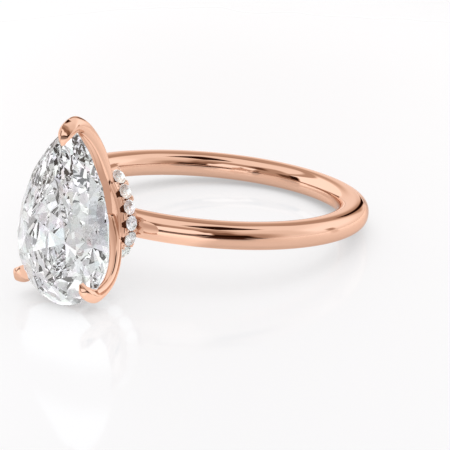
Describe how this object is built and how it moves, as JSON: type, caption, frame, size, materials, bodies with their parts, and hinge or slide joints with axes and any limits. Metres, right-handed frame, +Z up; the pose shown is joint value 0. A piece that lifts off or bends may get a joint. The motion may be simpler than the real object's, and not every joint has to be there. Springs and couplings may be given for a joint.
{
  "type": "engagement ring",
  "caption": "Rose gold solitaire ring on its side: pear-cut stone in three claws on a basket, with a hidden halo of small round stones round the gallery and a plain round band.",
  "frame": {"origin": "on the surface the ring lies on, at the centre of its box seen from above", "axes": "+Z up from that surface; -Y towards the stone, the way the head points; +X across the ring"},
  "size_m": [0.021, 0.0268, 0.0117],
  "materials": {
    "rose_gold": "polished",
    "diamond": "polished",
    "melee": "polished"
  },
  "bodies": {
    "root": {"shank": "rose_gold", "gallery_rail": "rose_gold", "head_base": "rose_gold", "tip_v_prong": "rose_gold", "right_claw_prong": "rose_gold", "left_claw_prong": "rose_gold", "center_stone": "diamond", "halo_stone_01": "melee", "halo_stone_02": "melee", "halo_stone_03": "melee", "halo_stone_04": "melee", "halo_stone_05": "melee", "halo_stone_06": "melee", "halo_stone_07": "melee", "halo_stone_08": "melee", "halo_stone_09": "melee", "halo_stone_10": "melee", "halo_stone_11": "melee", "halo_stone_12": "melee", "halo_stone_13": "melee", "halo_stone_14": "melee", "halo_stone_15": "melee"}
  },
  "joints": []
}
